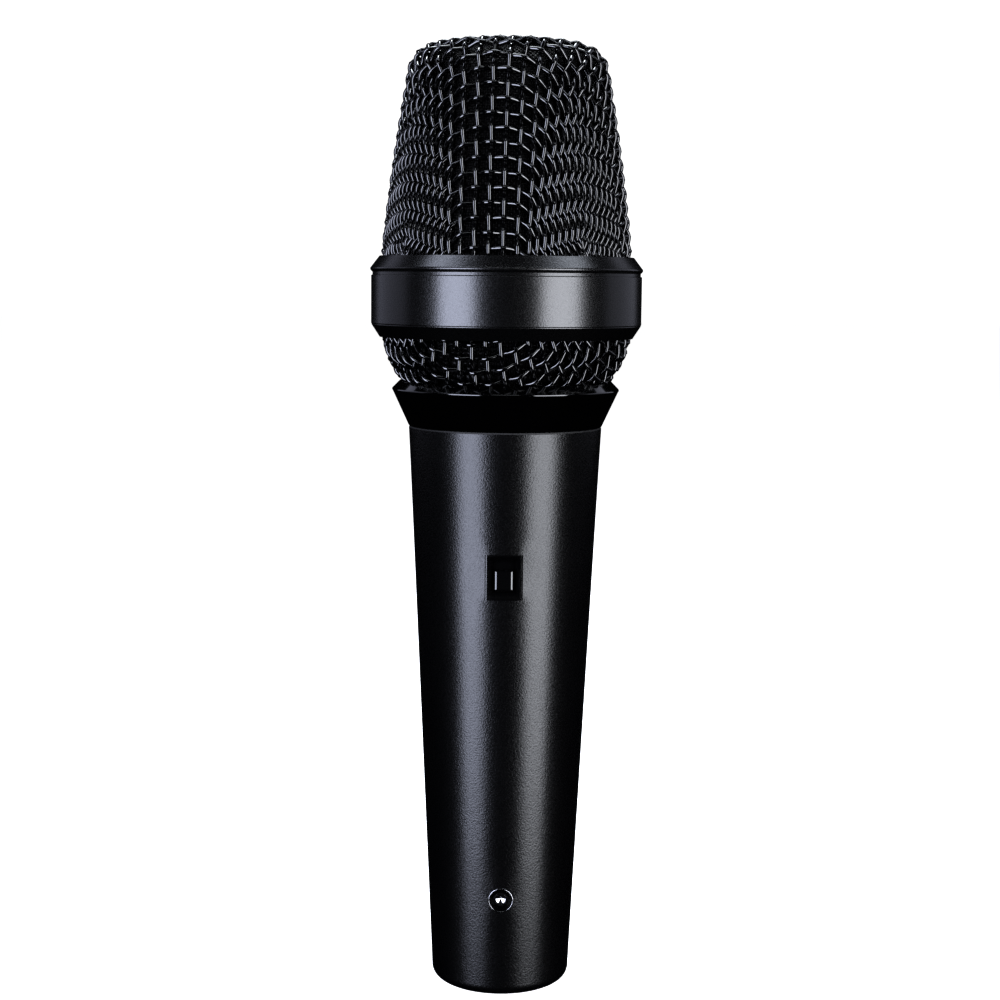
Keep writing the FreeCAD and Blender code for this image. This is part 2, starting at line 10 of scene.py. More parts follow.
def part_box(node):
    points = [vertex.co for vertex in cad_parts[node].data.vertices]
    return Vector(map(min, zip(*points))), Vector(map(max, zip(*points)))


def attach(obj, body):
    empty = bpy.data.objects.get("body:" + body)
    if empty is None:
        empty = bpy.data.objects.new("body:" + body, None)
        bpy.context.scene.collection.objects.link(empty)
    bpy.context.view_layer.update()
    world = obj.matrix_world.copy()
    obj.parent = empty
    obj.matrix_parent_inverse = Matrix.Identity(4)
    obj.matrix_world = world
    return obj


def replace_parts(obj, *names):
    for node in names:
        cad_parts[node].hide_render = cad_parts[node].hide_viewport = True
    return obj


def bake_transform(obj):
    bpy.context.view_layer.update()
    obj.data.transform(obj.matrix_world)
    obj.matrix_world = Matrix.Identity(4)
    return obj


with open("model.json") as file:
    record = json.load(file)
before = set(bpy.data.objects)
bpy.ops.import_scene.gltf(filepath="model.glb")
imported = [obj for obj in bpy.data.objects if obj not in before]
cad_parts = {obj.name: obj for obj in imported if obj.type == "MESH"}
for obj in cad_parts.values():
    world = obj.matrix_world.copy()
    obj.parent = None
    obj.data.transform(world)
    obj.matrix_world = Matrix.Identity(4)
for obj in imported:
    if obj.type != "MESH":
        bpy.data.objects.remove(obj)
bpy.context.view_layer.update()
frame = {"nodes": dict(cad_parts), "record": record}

mm = 0.001
scene = bpy.context.scene
slotOf = {part["node"]: part["material_slot"] for part in frame["record"]["subparts"]}
print("frame loaded:", len(frame["nodes"]), "nodes")


class Signal:     # one value in a node tree, so that shader maths reads like maths
    def __init__(self, tree, socket):
        self.tree, self.socket = tree, socket

    def maths(self, operation, *values):
        node = self.tree.nodes.new("ShaderNodeMath")
        node.operation = operation
        for socket, value in zip(node.inputs, values):
            plug(self.tree, socket, value)
        return Signal(self.tree, node.outputs[0])

    def __add__(self, other):
        return self.maths("ADD", self, other)

    def __sub__(self, other):
        return self.maths("SUBTRACT", self, other)

    def __rsub__(self, other):
        return self.maths("SUBTRACT", other, self)

    def __mul__(self, other):
        return self.maths("MULTIPLY", self, other)

    __radd__ = __add__
    __rmul__ = __mul__

    def sine(self):
        return self.maths("SINE", self)

    def absolute(self):
        return self.maths("ABSOLUTE", self)

    def clamped(self):
        return self.maths("MAXIMUM", self.maths("MINIMUM", self, 1.0), 0.0)


def plug(tree, socket, value):
    if isinstance(value, Signal):
        tree.links.new(value.socket, socket)
    elif isinstance(value, tuple) and len(value) == 3 and socket.type == "RGBA":
        socket.default_value = (*value, 1.0)
    else:
        socket.default_value = value


class Finish:     # a material and the one way that nodes are added to it
    def __init__(self, name):
        self.material = bpy.data.materials.new(name)
        self.material.use_nodes = True
        self.tree = self.material.node_tree
        self.shader = self.tree.nodes["Principled BSDF"]

    def node(self, kind, settings=None, sockets=None, output=0):
        node = self.tree.nodes.new("ShaderNode" + kind)
        for key, value in (settings or {}).items():
            setattr(node, key, value)
        for key, value in (sockets or {}).items():
            plug(self.tree, node.inputs[key], value)
        return Signal(self.tree, node.outputs[output])

    def where(self, stretch=(1, 1, 1)):
        place = self.node("TexCoord", output="Object")
        if stretch == (1, 1, 1):
            return place
        return self.node("Mapping", sockets={"Vector": place, "Scale": stretch})

    def noise(self, size, detail=3.0, stretch=(1, 1, 1)):
        return self.node("TexNoise", sockets={"Vector": self.where(stretch), "Scale": 1 / size,
                                              "Detail": detail})

    def blend(self, mask, first, second):
        return self.node("Mix", {"data_type": "RGBA"}, {0: mask, 6: first, 7: second}, output=2)

    def bump(self, height, depth):
        return self.node("Bump", sockets={"Height": height, "Distance": depth})

    def give(self, **values):
        names = {"colour": "Base Color", "rough": "Roughness", "metal": "Metallic", "normal": "Normal",
                 "coat": "Coat Weight", "coatRough": "Coat Roughness", "ior": "IOR", "sheen": "Sheen Weight",
                 "glow": "Emission Color", "glowPower": "Emission Strength", "specular": "Specular IOR Level",
                 "through": "Transmission Weight"}
        for key, value in values.items():
            plug(self.tree, self.shader.inputs[names[key]], value)
        return self.material


def tint(colour, factor):
    return tuple(min(1.0, channel * factor) for channel in colour)


def sprayPaint(name, colour, rough, grain, depth, ior):     # satin paint with a fine, dense, worm-like grain
    f = Finish(name)
    peel = f.noise(grain, 0.0)
    fine = f.noise(grain / 2.1, 0.0)
    cloud = f.noise(11 * mm, 2.0)
    worms = peel + fine * 0.5
    return f.give(colour=f.blend(cloud * 0.5 + fine * 0.5, tint(colour, 0.6), tint(colour, 1.4)),
                  rough=rough + (cloud - 0.5) * 0.04 + (worms - 0.75) * 0.10, ior=ior,
                  normal=f.bump(worms, depth))


def glossEnamel(name, colour, rough=0.10):
    f = Finish(name)
    ripple = f.noise(2.2 * mm, 2.0)
    dust = f.noise(0.25 * mm, 5.0)
    smear = f.noise(14 * mm, 3.0)
    return f.give(colour=f.blend(smear, tint(colour, 0.8), tint(colour, 1.3)),
                  rough=rough + (smear - 0.5) * 0.05 + (dust - 0.5) * 0.04,
                  coat=0.6, coatRough=0.06, normal=f.bump(ripple, 0.006 * mm))


def wireEnamel(name, colour, rough):
    f = Finish(name)
    skin = f.noise(0.35 * mm, 3.0)
    patch = f.noise(5 * mm, 2.0)
    return f.give(colour=f.blend(patch, tint(colour, 0.7), tint(colour, 1.5)),
                  rough=rough + (patch - 0.5) * 0.06 + (skin - 0.5) * 0.06, ior=1.75,
                  normal=f.bump(skin, 0.006 * mm))


def mouldedPlastic(name, colour, rough, grain=0.10 * mm, depth=0.008 * mm):
    f = Finish(name)
    spark = f.noise(grain, 3.0)
    flow = f.noise(4 * mm, 3.0)
    return f.give(colour=f.blend(flow, tint(colour, 0.82), tint(colour, 1.2)),
                  rough=rough + (spark - 0.5) * 0.12 + (flow - 0.5) * 0.06,
                  normal=f.bump(spark, depth))


def turnedMetal(name, colour, rough, marks=0.12 * mm, depth=0.004 * mm, along=(1, 1, 40)):
    f = Finish(name)
    lathe = f.noise(marks * 40, 4.0, stretch=along)
    tarnish = f.noise(3.5 * mm, 4.0)
    return f.give(colour=f.blend(tarnish, tint(colour, 0.78), tint(colour, 1.08)), metal=1.0,
                  rough=rough + (lathe - 0.5) * 0.16 + (tarnish - 0.5) * 0.12,
                  normal=f.bump(lathe, depth))


def softRubber(name, colour):
    f = Finish(name)
    pore = f.noise(0.15 * mm, 5.0)
    bloom = f.noise(2.5 * mm, 4.0)
    return f.give(colour=f.blend(bloom, colour, tint(colour, 2.2)), rough=0.72 + (bloom - 0.5) * 0.2,
                  normal=f.bump(pore, 0.02 * mm))


def openFoam(name, colour):
    f = Finish(name)
    cells = f.node("TexVoronoi", {"feature": "F1"}, {"Vector": f.where(), "Scale": 1 / (0.55 * mm)})
    crumb = f.noise(0.2 * mm, 4.0)
    # high on the cell walls and low in the pits at the cell centres; the pits are painted darker as painted
    # shade, and the same mask raises the walls in the bump
    poreShadeAndHeight = (cells * 1.6).clamped()
    return f.give(colour=f.blend(poreShadeAndHeight, tint(colour, 0.3), tint(colour, 1.7)), rough=0.92,
                  normal=f.bump(poreShadeAndHeight + crumb * 0.4, 0.25 * mm))


def wovenCloth(name, colour, pitch, depth):
    f = Finish(name)
    warp = f.node("TexWave", {"bands_direction": "Z"}, {"Vector": f.where(), "Scale": 0.32 / pitch,
                                                        "Distortion": 0.6, "Detail Scale": 2.0})
    fuzz = f.noise(pitch, 4.0)
    # the colour is darker in the grooves between the threads, where the bump is low: painted shade; the fuzz
    # adds random tone
    return f.give(colour=f.blend(warp * 0.6 + fuzz * 0.4, tint(colour, 0.5), tint(colour, 1.3)),
                  rough=0.9, sheen=0.3, normal=f.bump(warp * 0.6 + fuzz, depth))


def woundCopper(name, colour, pitch):
    f = Finish(name)
    turns = f.node("TexWave", {"bands_direction": "Z"}, {"Vector": f.where(), "Scale": 0.32 / pitch})
    shade = f.noise(0.6 * mm, 3.0)
    # the grooves between the wire's turns are painted darker as painted shade, following the same bands as
    # the bump
    return f.give(colour=f.blend(turns, tint(colour, 0.35), colour), metal=1.0,
                  rough=0.3 + (shade - 0.5) * 0.2, normal=f.bump(turns, 0.05 * mm))


def clearFilm(name, colour):
    f = Finish(name)
    stretch = f.noise(1.8 * mm, 3.0)
    return f.give(colour=f.blend(stretch, tint(colour, 0.85), colour), rough=0.16 + (stretch - 0.5) * 0.08,
                  through=0.6, ior=1.6, normal=f.bump(stretch, 0.02 * mm))


def boardMask(name, colour):
    f = Finish(name)
    glass = f.noise(0.4 * mm, 2.0, stretch=(1, 1, 6))
    mottle = f.noise(2 * mm, 3.0)
    return f.give(colour=f.blend(mottle * 0.6 + glass * 0.4, tint(colour, 0.6), tint(colour, 1.5)),
                  rough=0.34 + (glass - 0.5) * 0.1, coat=0.4, normal=f.bump(glass, 0.01 * mm))


finishes = {
    "handle_paint": sprayPaint("handlePaint", (0.0008, 0.0008, 0.0011), 0.27, 0.29 * mm, 0.020 * mm, 1.53),
    "ring_paint": sprayPaint("ringPaint", (0.0008, 0.0008, 0.0010), 0.26, 0.30 * mm, 0.009 * mm, 1.66),
    "collar_enamel": glossEnamel("collarEnamel", (0.0006, 0.0006, 0.0007)),
    "screen_wire": wireEnamel("screenWire", (0.0012, 0.0012, 0.0015), 0.07),
    "foam": openFoam("headFoam", (0.005, 0.005, 0.0055)),
    "washer_fibre": mouldedPlastic("washerFibre", (0.012, 0.012, 0.012), 0.6),
    "bezel_plastic": glossEnamel("bezelPlastic", (0.002, 0.002, 0.0023), 0.13),
    "knob_plastic": glossEnamel("knobPlastic", (0.002, 0.002, 0.0024), 0.16),
    "stem_plastic": mouldedPlastic("stemAcetal", (0.72, 0.70, 0.64), 0.4),
    "switch_steel": turnedMetal("switchSteel", (0.55, 0.55, 0.53), 0.34),
    "tinned_brass": turnedMetal("tinnedBrass", (0.66, 0.64, 0.58), 0.3),
    "board_laminate": boardMask("boardMask", (0.02, 0.12, 0.04)),
    "screw_zinc": turnedMetal("screwZinc", (0.58, 0.58, 0.55), 0.3),
    "cradle_nylon": mouldedPlastic("cradleNylon", (0.03, 0.03, 0.032), 0.55, grain=0.2 * mm),
    "barrel_nickel": turnedMetal("barrelNickel", (0.56, 0.54, 0.50), 0.26),
    "insert_nylon": mouldedPlastic("insertNylon", (0.014, 0.014, 0.015), 0.42),
    "contact_silver": turnedMetal("contactSilver", (0.74, 0.72, 0.66), 0.22),
    "screw_black": turnedMetal("screwBlack", (0.36, 0.36, 0.37), 0.17),
    "spring_bronze": turnedMetal("springBronze", (0.60, 0.38, 0.22), 0.3),
    "lead_red": mouldedPlastic("leadRed", (0.38, 0.012, 0.012), 0.4),
    "lead_blue": mouldedPlastic("leadBlue", (0.012, 0.04, 0.30), 0.4),
    "mount_rubber": softRubber("mountRubber", (0.010, 0.010, 0.010)),
    "mount_plastic": mouldedPlastic("mountPlastic", (0.035, 0.035, 0.037), 0.5),
    "can_aluminium": turnedMetal("canAluminium", (0.70, 0.70, 0.71), 0.30),
    "tag_laminate": mouldedPlastic("tagLaminate", (0.22, 0.11, 0.045), 0.55, grain=0.3 * mm),
    "capsule_plastic": mouldedPlastic("capsulePlastic", (0.03, 0.03, 0.032), 0.45),
    "port_fabric": wovenCloth("portFabric", (0.26, 0.26, 0.24), 0.3 * mm, 0.06 * mm),
    "motor_steel": turnedMetal("motorSteel", (0.50, 0.50, 0.50), 0.36),
    "magnet_nickel": turnedMetal("magnetNickel", (0.48, 0.47, 0.45), 0.28),
    "clamp_brass": turnedMetal("clampBrass", (0.72, 0.52, 0.22), 0.3),
    "felt": wovenCloth("dampingFelt", (0.12, 0.12, 0.13), 0.5 * mm, 0.15 * mm),
    "diaphragm_film": clearFilm("diaphragmFilm", (0.60, 0.55, 0.42)),
    "coil_copper": woundCopper("coilCopper", (0.72, 0.30, 0.14), 0.14 * mm),
}


def weaveScreen(name, colour, pitch, radius):     # fine wire cloth, laid round the axis and over the dome
    f = Finish(name)
    place = f.where()
    x, y, z = (f.node("SeparateXYZ", sockets={"Vector": place}, output=k) for k in range(3))
    reach = x.maths("SQRT", x * x + y * y)
    across = x.maths("ARCTAN2", y, x) * (radius * math.pi / pitch)
    down = (z - reach) * (math.pi / pitch)
    warp = across.sine().absolute()
    weft = down.sine().absolute()
    over = (across.sine() * down.sine() * 4.0 + 0.5).clamped()
    height = warp * over + weft * (1.0 - over)
    wear = f.noise(3 * mm, 3.0)
    # the colour follows the weave's height: the knuckles are painted lighter as painted highlights, and the
    # gaps between the wires darker as painted shade
    return f.give(colour=f.blend((height * 1.4 - 0.5).clamped(), tint(colour, 0.15), tint(colour, 1.6)),
                  rough=0.34 + (wear - 0.5) * 0.2, specular=0.2, normal=f.bump(height, 0.45 * mm))


finishes["fine_wire"] = weaveScreen("fineWire", (0.004, 0.004, 0.0045), 0.55 * mm, 22 * mm)

for name, node in frame["nodes"].items():
    node.data.materials.clear()
    node.data.materials.append(finishes[slotOf[name]])
print("finishes:", len(finishes))


def newPiece(name, mesh, slot, body):
    piece = bpy.data.objects.new(name, mesh)
    scene.collection.objects.link(piece)
    mesh.materials.clear()
    mesh.materials.append(finishes[slot])
    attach(piece, body)
    return piece


def toMesh(bm, name, smooth=True):
    mesh = bpy.data.meshes.new(name)
    for face in bm.faces:
        face.smooth = smooth
    bm.to_mesh(mesh)
    bm.free()
    return mesh


# turns an outline about Z into a closed skin with its faces outwards
def turnRound(bm, steps, weld=0.001 * mm):
    bmesh.ops.spin(bm, geom=bm.verts[:] + bm.edges[:], cent=(0, 0, 0), axis=(0, 0, 1), angle=math.tau,
                   steps=steps, use_merge=True)
    bmesh.ops.remove_doubles(bm, verts=bm.verts[:], dist=weld)
    bmesh.ops.recalc_face_normals(bm, faces=bm.faces[:])


def arc(start, middle, end, steps):     # points from start to end on the circle through three (r, z) points
    (ax, ay), (bx, by), (cx, cy) = start, middle, end
    d = 2 * (ax * (by - cy) + bx * (cy - ay) + cx * (ay - by))
    a2, b2, c2 = ax * ax + ay * ay, bx * bx + by * by, cx * cx + cy * cy
    ux = (a2 * (by - cy) + b2 * (cy - ay) + c2 * (ay - by)) / d
    uy = (a2 * (cx - bx) + b2 * (ax - cx) + c2 * (bx - ax)) / d
    first = math.atan2(ay - uy, ax - ux)
    turn = math.remainder(math.atan2(cy - uy, cx - ux) - first, math.tau)
    radius = math.hypot(ax - ux, ay - uy)
    angles = [first + turn * k / steps for k in range(1, steps + 1)]
    return [(ux + radius * math.cos(t), uy + radius * math.sin(t)) for t in angles]


cup = {
    "footR": 23.75 * mm, "footZ": 139.75 * mm, "bulge": 0.35 * mm,
    "shoulderR": 19.0 * mm, "shoulderZ": 173.6 * mm, "shoulderBulge": 1.03 * mm,
    "domeR": 15.0 * mm, "domeZ": 178.75 * mm, "below": 26.0 * mm,
}
bowl = {
    "footR": 20.0 * mm, "footZ": 116.4 * mm, "midR": 22.45 * mm, "midZ": 120.6 * mm,
    "brimR": 23.78 * mm, "brimZ": 124.65 * mm, "flatR": 2.8 * mm, "flatZ": 107.8 * mm,
    "floorR": 15.2 * mm, "floorZ": 111.8 * mm, "above": 14.0 * mm,
}
weave = {
    "pitch": 2.70 * mm, "wireR": 0.4 * mm, "crimp": 0.4 * mm, "lock": 1.62 * mm, "shear": 0.04, "stiff": 0.10,
    "cupTurn": -8.5, "bowlTurn": -16.0, "trim": 0.1 * mm, "spare": 4.0 * mm, "sides": 2, "steps": 5,
}
noLimit = 1.0     # a height above the whole object, where nothing is cut off


def cupOutline():     # outer meridian from the top down to below the foot
    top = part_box("upper_screen")[1].z
    fall = top - cup["domeZ"]
    domeR = (cup["domeR"] ** 2 + fall ** 2) / (2 * fall)
    half = math.asin(cup["domeR"] / domeR) / 2
    domeMid = (domeR * math.sin(half), top - domeR + domeR * math.cos(half))
    edge, shoulder = (cup["domeR"], cup["domeZ"]), (cup["shoulderR"], cup["shoulderZ"])
    foot = (cup["footR"], cup["footZ"])
    out = Vector((edge[1] - shoulder[1], shoulder[0] - edge[0])).normalized() * cup["shoulderBulge"]
    shoulderMid = ((edge[0] + shoulder[0]) / 2 + out.x, (edge[1] + shoulder[1]) / 2 + out.y)
    wallMid = ((foot[0] + shoulder[0]) / 2 + cup["bulge"], (foot[1] + shoulder[1]) / 2)
    points = [(0.0, top)] + arc((0.0, top), domeMid, edge, 40) + arc(edge, shoulderMid, shoulder, 24)
    points += arc(shoulder, wallMid, foot, 60)
    return points + [(foot[0], foot[1] - cup["below"] * k / 30) for k in range(1, 31)]


def bowlOutline():     # outer meridian from a closed floor, hidden by the collar, up to above the brim
    foot, brim = (bowl["footR"], bowl["footZ"]), (bowl["brimR"], bowl["brimZ"])
    floorEdge = (bowl["flatR"], bowl["flatZ"])
    points = [(bowl["flatR"] * k / 4, bowl["flatZ"]) for k in range(5)]
    points += arc(floorEdge, (bowl["floorR"], bowl["floorZ"]), foot, 40)
    points += arc(foot, (bowl["midR"], bowl["midZ"]), brim, 30)
    return points + [(brim[0], brim[1] + bowl["above"] * k / 20) for k in range(1, 21)]


def insetOutline(points, inset):     # the same meridian moved towards the inside
    line = np.array(points)
    along = np.gradient(line, axis=0)
    along /= np.linalg.norm(along, axis=1)[:, None]
    side = 1 if line[-1][1] < line[0][1] else -1     # the cup runs downwards, the bowl upwards
    inwards = np.stack([along[:, 1], -along[:, 0]], axis=1) * side
    moved = line + inwards * inset
    moved[0, 0] = 0.0
    return moved, -inwards


class Surface:     # a turned surface that points can be dropped on
    def __init__(self, points, inset):
        self.line, self.out = insetOutline(points, inset)
        steps = np.linalg.norm(np.diff(self.line, axis=0), axis=1)
        self.run = np.concatenate([[0.0], np.cumsum(steps)])     # distance from the pole along the meridian

    def drop(self, spots):     # nearest places on the surface and the outward directions there
        r = np.hypot(spots[:, 0], spots[:, 1])
        flat = np.stack([r, spots[:, 2]], axis=1)
        nearest = ((flat[:, None, :] - self.line[None]) ** 2).sum(axis=2).argmin(axis=1)
        best = np.full(len(spots), np.inf)
        place, out = flat.copy(), flat.copy()
        for shift in (1, 0):
            start = np.clip(nearest - shift, 0, len(self.line) - 2)
            step = self.line[start + 1] - self.line[start]
            part = ((flat - self.line[start]) * step).sum(axis=1) / (step * step).sum(axis=1)
            t = np.clip(part, 0, 1)[:, None]
            foot = self.line[start] + step * t
            gap = np.linalg.norm(foot - flat, axis=1)
            closer = gap < best
            best[closer], place[closer] = gap[closer], foot[closer]
            out[closer] = (self.out[start] * (1 - t) + self.out[start + 1] * t)[closer]
        way = spots[:, :2] / np.maximum(r, 1e-9)[:, None]
        return tuple(np.column_stack([way * pair[:, :1], pair[:, 1]]) for pair in (place, out))


def layFirst(surface, pitch, reach):     # one quarter of a freely shearing cloth, the start of the lay
    net = {(0, 0): np.array([0.0, 0.0, surface.line[0][1]])}
    for k in range(1, reach + 1):
        for key, way in (((k, 0), (1, 0)), ((0, k), (0, 1))):
            r, z = (np.interp(k * pitch, surface.run, surface.line[:, n]) for n in (0, 1))
            net[key] = np.array([r * way[0], r * way[1], z])
    for i in range(1, reach + 1):
        for j in range(1, reach + 1):
            if (i - 1, j) not in net or (i, j - 1) not in net:
                continue
            a, b = net[i - 1, j], net[i, j - 1]
            middle, side = (a + b) / 2, (b - a) / max(np.linalg.norm(b - a), 1e-9)
            high = math.sqrt(max(pitch ** 2 - np.linalg.norm(b - a) ** 2 / 4, (0.3 * pitch) ** 2))
            spot = a + b - net[i - 1, j - 1]
            # both new sides keep their length and the crossing lies on the surface
            for again in range(8):
                spot = surface.drop(spot[None])[0][0]
                lift = spot - middle
                lift -= side * np.dot(lift, side)
                spot = middle + lift / np.linalg.norm(lift) * high
            if surface.drop(spot[None])[0][0][2] != surface.line[-1][1]:
                net[i, j] = spot
    return net


# crossings of a square cloth drawn down over the surface: its cells shear until neighbouring wires touch
def drapeNet(surface, pitch, lock, turn, rounds=420):
    reach = int(surface.run[-1] / pitch)
    quarter = layFirst(surface, pitch, reach)
    net = {}
    for (i, j), spot in quarter.items():
        for key, way in (((i, j), (1, 0)), ((-j, i), (0, 1)), ((-i, -j), (-1, 0)), ((j, -i), (0, -1))):
            net[key] = (spot[0] * way[0] - spot[1] * way[1], spot[0] * way[1] + spot[1] * way[0], spot[2])
    keys = list(net)
    number = {key: k for k, key in enumerate(keys)}
    spots = np.array([net[key] for key in keys])

    def pairs(di, dj):
        return np.array([(number[i, j], number[i + di, j + dj]) for i, j in keys
                         if (i + di, j + dj) in number])

    links = ((np.concatenate([pairs(1, 0), pairs(0, 1)]), pitch, 1.0, 0.0),
             (np.concatenate([pairs(1, 1), pairs(1, -1)]), pitch * math.sqrt(2), weave["shear"], lock),
             (np.concatenate([pairs(2, 0), pairs(0, 2)]), 2 * pitch, weave["stiff"], 0.0))
    for again in range(rounds):
        move, weight = np.zeros_like(spots), np.full(len(spots), 1e-9)
        for ends, rest, pull, least in links:
            gap = spots[ends[:, 1]] - spots[ends[:, 0]]
            length = np.linalg.norm(gap, axis=1)
            short = length < least
            strength = np.where(short, 1.0, pull)
            share = (1 - np.where(short, least, rest) / np.maximum(length, 1e-9)) * strength / 2
            push = gap * share[:, None]
            for end, sign in ((0, 1), (1, -1)):
                np.add.at(move, ends[:, end], push * sign)
                np.add.at(weight, ends[:, end], strength)
        spots = surface.drop(spots + move * (2.4 / np.maximum(weight, 1.0))[:, None])[0]
        spots[number[0, 0]] = (0, 0, surface.line[0][1])
    c, t = math.cos(math.radians(turn - 90)), math.sin(math.radians(turn - 90))
    x, y, z = spots.T
    spots = np.column_stack([x * c - y * t, x * t + y * c, z])
    return {key: spots[k] for key, k in number.items()}, reach


def weaveWires(name, surface, turn, low, high, body, node):
    net, reach = drapeNet(surface, weave["pitch"], weave["lock"], turn)
    print(name, "cloth laid:", len(net), "crossings")
    for direction in (0, 1):
        curve = bpy.data.curves.new(name, "CURVE")
        curve.dimensions = "3D"
        curve.bevel_depth = weave["wireR"]
        curve.bevel_resolution = weave["sides"]
        curve.resolution_u = weave["steps"]
        curve.use_fill_caps = True
        for k in range(-reach, reach + 1):
            run = []
            for m in range(-reach, reach + 2):
                key = (k, m) if direction == 0 else (m, k)
                if key in net and low - weave["spare"] < net[key][2] < high + weave["spare"]:
                    run.append((key, net[key]))
                    continue
                if len(run) > 2:
                    addWire(curve, surface, run, direction)
                run = []
        maker = bpy.data.objects.new(name, curve)
        scene.collection.objects.link(maker)
        mesh = bpy.data.meshes.new_from_object(maker.evaluated_get(bpy.context.evaluated_depsgraph_get()))
        bpy.data.objects.remove(maker)
        bm = bmesh.new()
        bm.from_mesh(mesh)
        for height, inner in ((low, True), (high, False)):
            everything = bm.verts[:] + bm.edges[:] + bm.faces[:]
            bmesh.ops.bisect_plane(bm, geom=everything, plane_co=(0, 0, height), plane_no=(0, 0, 1),
                                   clear_inner=inner, clear_outer=not inner)
            bmesh.ops.holes_fill(bm, edges=[e for e in bm.edges if e.is_boundary], sides=0)
        mesh = toMesh(bm, name)
        piece = newPiece(name + ("Warp", "Weft")[direction], mesh, "screen_wire", body)
        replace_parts(piece, node)
        print(piece.name, len(mesh.polygons), "faces")


def addWire(curve, surface, run, direction):
    keys = [key for key, spot in run]
    spots = np.array([spot for key, spot in run])
    eased = spots.copy()     # moved out by as much as a cubic spline cuts its corners
    eased[1:-1] -= (spots[:-2] - 2 * spots[1:-1] + spots[2:]) / 6
    spline = curve.splines.new("NURBS")
    spline.points.add(len(run) - 1)
    for point, key, spot, out in zip(spline.points, keys, eased, surface.drop(spots)[1]):
        side = 1 if (key[0] + key[1] + direction) % 2 else -1
        place = spot + out * (3 * weave["crimp"] * side)
        point.co = (*place, 1)
    spline.order_u = 4
    spline.use_endpoint_u = True


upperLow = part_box("upper_screen")[0].z + weave["trim"]
weaveWires("upperScreen", Surface(cupOutline(), 2 * weave["wireR"]), weave["cupTurn"], upperLow, noLimit,
           "head", "upper_screen")
lowerLow, lowerHigh = (corner.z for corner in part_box("lower_screen"))
weaveWires("lowerScreen", Surface(bowlOutline(), 2 * weave["wireR"]), weave["bowlTurn"],
           lowerLow + weave["trim"], lowerHigh - weave["trim"], "head", "lower_screen")


foam = {"gap": 2.25 * mm, "cupDeep": 5.15 * mm, "skirtDeep": 4.35 * mm, "around": 120, "weld": 0.01 * mm,
        "pore": 0.07 * mm, "poreSize": 1.1 * mm}


def ringedFoam(name, outline, deep, low, high, node):     # a turned foam lining with an uneven cut skin
    def side(inset):
        line = insetOutline(outline, inset)[0]
        rising = line if line[0][1] < line[-1][1] else line[::-1]
        inside = [(max(r, 0.0), z) for r, z in rising if low < z < high]
        ends = [(float(np.interp(z, rising[:, 1], rising[:, 0])), z) for z in (low, high)]
        return [ends[0]] + inside + ([ends[1]] if high < rising[-1][1] else [])

    outer, inner = side(foam["gap"]), side(deep)
    bm = bmesh.new()
    verts = [bm.verts.new((r, 0, z)) for r, z in outer + inner[::-1]]
    for first, second in zip(verts, verts[1:] + verts[:1]):
        bm.edges.new((first, second))
    if outer[-1][0] < 0.001 * mm:     # a lining that reaches the axis has no wall there
        bm.edges.remove(bm.edges.get((verts[len(outer) - 1], verts[len(outer)])))
    turnRound(bm, foam["around"], foam["weld"])
    bm.normal_update()
    for vert in bm.verts:
        vert.co += vert.normal * (noise.noise(vert.co / foam["poreSize"]) - 0.5) * foam["pore"]
    piece = newPiece(name, toMesh(bm, name), "foam", "head")
    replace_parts(piece, node)
    print(name, len(piece.data.polygons), "faces")


ringedFoam("foamCup", cupOutline(), foam["cupDeep"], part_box("foam_cup")[0].z, noLimit, "foam_cup")
skirtLow, skirtHigh = (corner.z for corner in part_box("foam_skirt"))
ringedFoam("foamSkirt", bowlOutline(), foam["skirtDeep"], skirtLow, skirtHigh, "foam_skirt")


handle = {"lowR": 13.29 * mm, "lowZ": 2.0 * mm, "highR": 18.29 * mm, "highZ": 107.6 * mm}


def handleRadius(z):     # the handle's straight taper
    rise = (handle["highR"] - handle["lowR"]) / (handle["highZ"] - handle["lowZ"])
    return handle["lowR"] + (z - handle["lowZ"]) * rise


screwRim = {"radius": 2.26 * mm, "bead": 0.12 * mm, "sunk": 0.03 * mm, "around": 72, "sides": 12}


def makeScrewRim():     # thin raised bead round the connector screw's hole, following the handle
    low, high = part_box("connector_screw")
    middleZ = (low.z + high.z) / 2
    bm = bmesh.new()
    upright = Matrix.Translation((screwRim["radius"], 0, 0)) @ Matrix.Rotation(math.pi / 2, 4, "X")
    bmesh.ops.create_circle(bm, segments=screwRim["sides"], radius=screwRim["bead"], matrix=upright)
    turnRound(bm, screwRim["around"])
    bmesh.ops.rotate(bm, verts=bm.verts[:], cent=(0, 0, 0), matrix=Matrix.Rotation(math.pi / 2, 3, "X"))
    for vert in bm.verts:     # each point is pushed back to the handle's round and tapering side
        vert.co.z += middleZ
        vert.co.y -= math.sqrt(handleRadius(vert.co.z) ** 2 - vert.co.x ** 2) - screwRim["sunk"]
    newPiece("screwHoleRim", toMesh(bm, "screwHoleRim"), "screw_black", "handle")
    print("screwHoleRim made")


makeScrewRim()


portCloth = {"wall": 0.18 * mm, "around": 160, "rows": 4}


def makePortCloth():     # a ribbon of acoustic cloth stretched round the capsule's side ports
    low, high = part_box("port_cloth")
    radius = (high.x - low.x) / 2 - portCloth["wall"]
    bm = bmesh.new()
    verts = [bm.verts.new((radius, 0, low.z + (high.z - low.z) * k / portCloth["rows"]))
             for k in range(portCloth["rows"] + 1)]
    for first, second in zip(verts, verts[1:]):
        bm.edges.new((first, second))
    turnRound(bm, portCloth["around"])
    bmesh.ops.solidify(bm, geom=bm.faces[:], thickness=-portCloth["wall"])
    bmesh.ops.recalc_face_normals(bm, faces=bm.faces[:])
    piece = newPiece("portClothRibbon", toMesh(bm, "portClothRibbon"), "port_fabric", "capsule")
    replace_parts(piece, "port_cloth")
    print("portClothRibbon made")


makePortCloth()


capFelt = {"rings": 10, "around": 96, "thick": 0.6 * mm, "fuzz": 0.05 * mm, "fuzzSize": 0.9 * mm}


